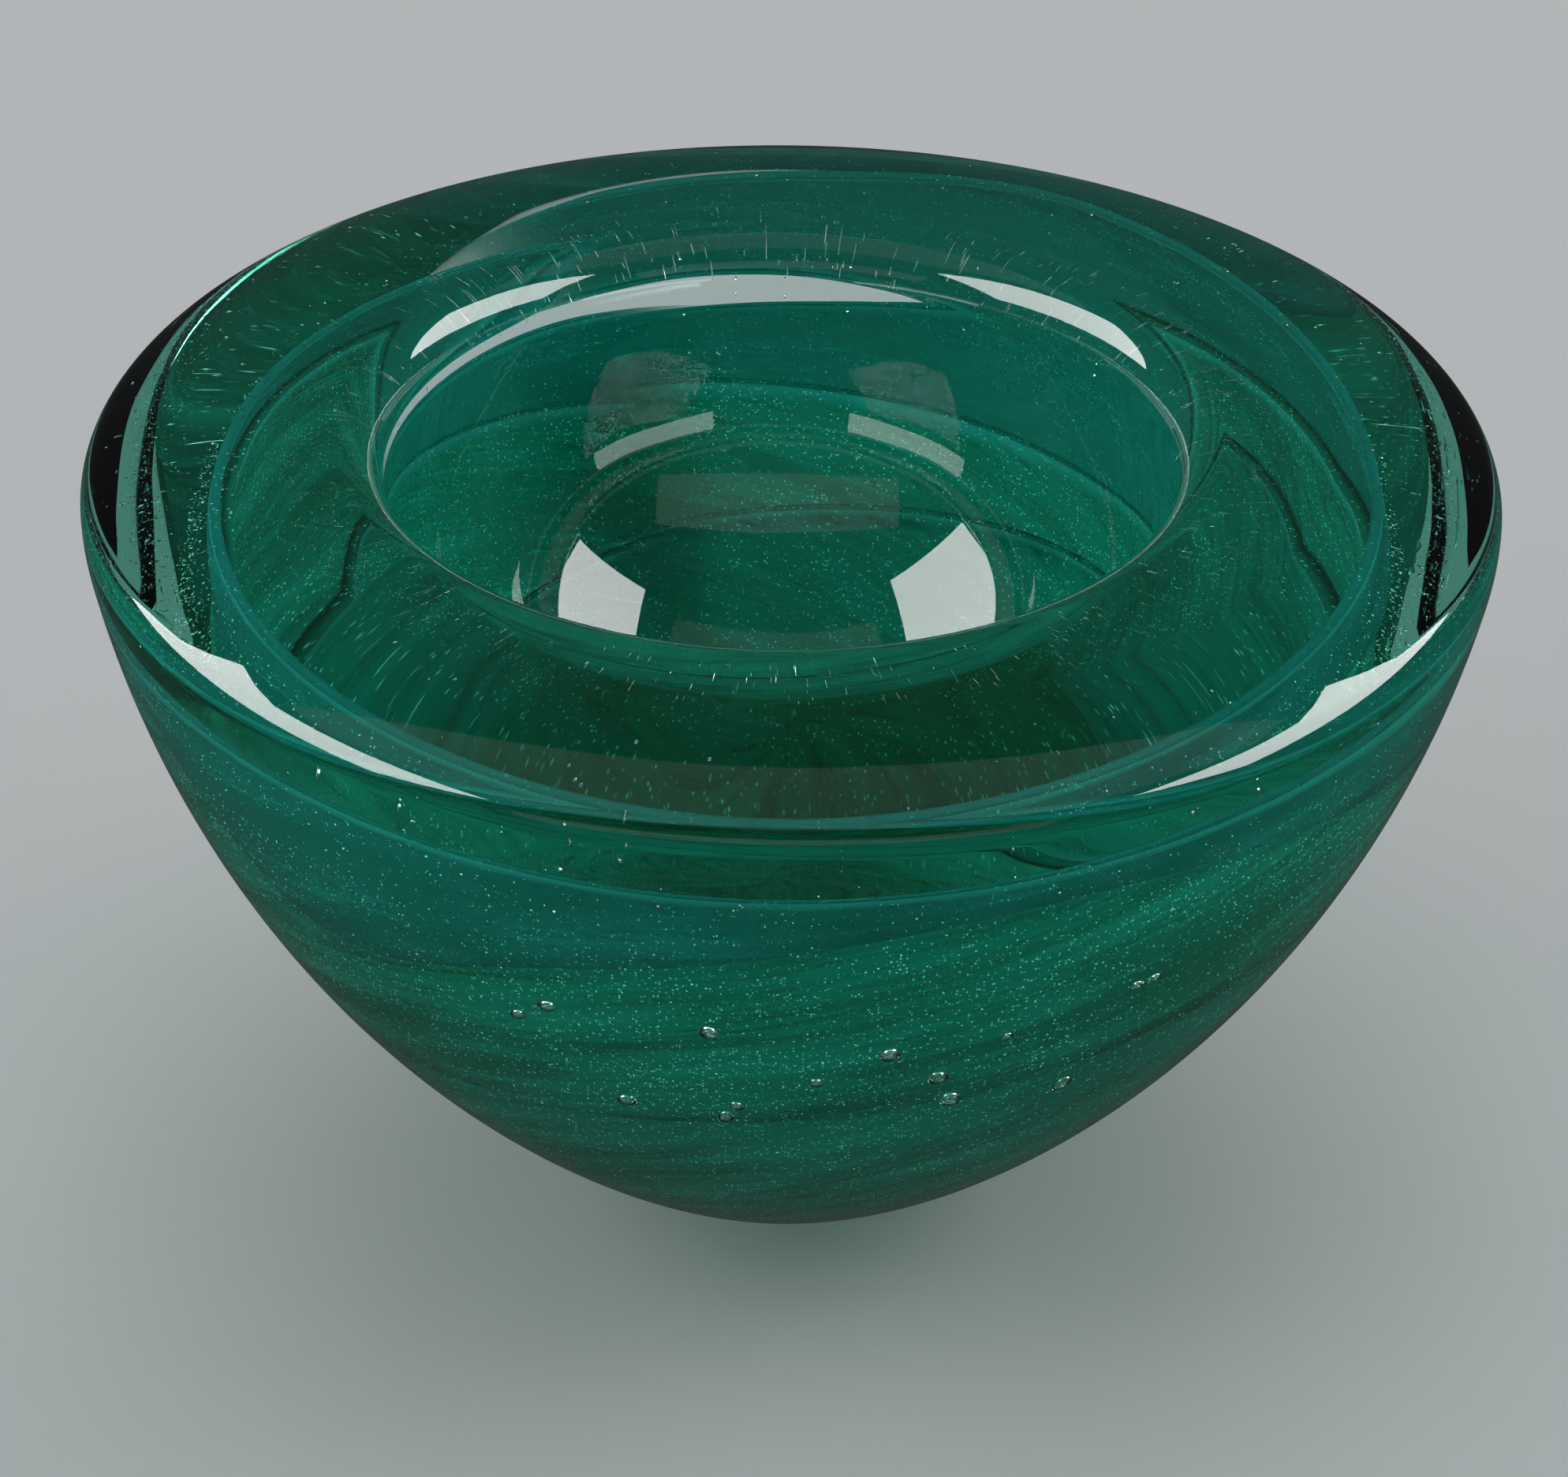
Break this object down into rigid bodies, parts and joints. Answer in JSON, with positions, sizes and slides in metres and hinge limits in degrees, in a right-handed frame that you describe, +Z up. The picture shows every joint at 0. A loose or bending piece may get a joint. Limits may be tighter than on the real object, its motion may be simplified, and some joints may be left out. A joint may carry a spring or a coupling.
{
  "type": "art glass bowl",
  "caption": "Small heavy studio-glass bowl: clear rounded rim and casing over glittering emerald veils, round well in the top, flat polished base.",
  "frame": {"origin": "centre of the flat polished base, on the surface the bowl stands on", "axes": "+Z up along the bowl's axis, -Y towards the front, +X to the right"},
  "size_m": [0.115, 0.115, 0.0678],
  "materials": {
    "clear_casing_glass": "fire-polished clear crystal with a faint mint tint",
    "teal_veil_glass": "teal powder colour with fine bright glitter, sealed inside clear glass",
    "green_ribbon_glass": "mid green powder colour with fine glitter, sealed inside clear glass",
    "deep_veil_glass": "deep emerald colour with streaks and glitter, sealed inside clear glass",
    "heel_glass": "dense emerald glass",
    "gather_glass": "clear glass with a green cast and fine seed bubbles",
    "well_glass": "clear glass, fire-polished on the well's wall",
    "trapped_air": "air bubble with a bright wall"
  },
  "bodies": {
    "root": {"outer_casing": "clear_casing_glass", "upper_veil": "teal_veil_glass", "middle_veil": "green_ribbon_glass", "lower_veil": "deep_veil_glass", "heel_pool": "heel_glass", "clear_gather": "gather_glass", "well_gather": "well_glass", "large_bubbles": "trapped_air", "lip_bubbles": "trapped_air"}
  },
  "joints": []
}
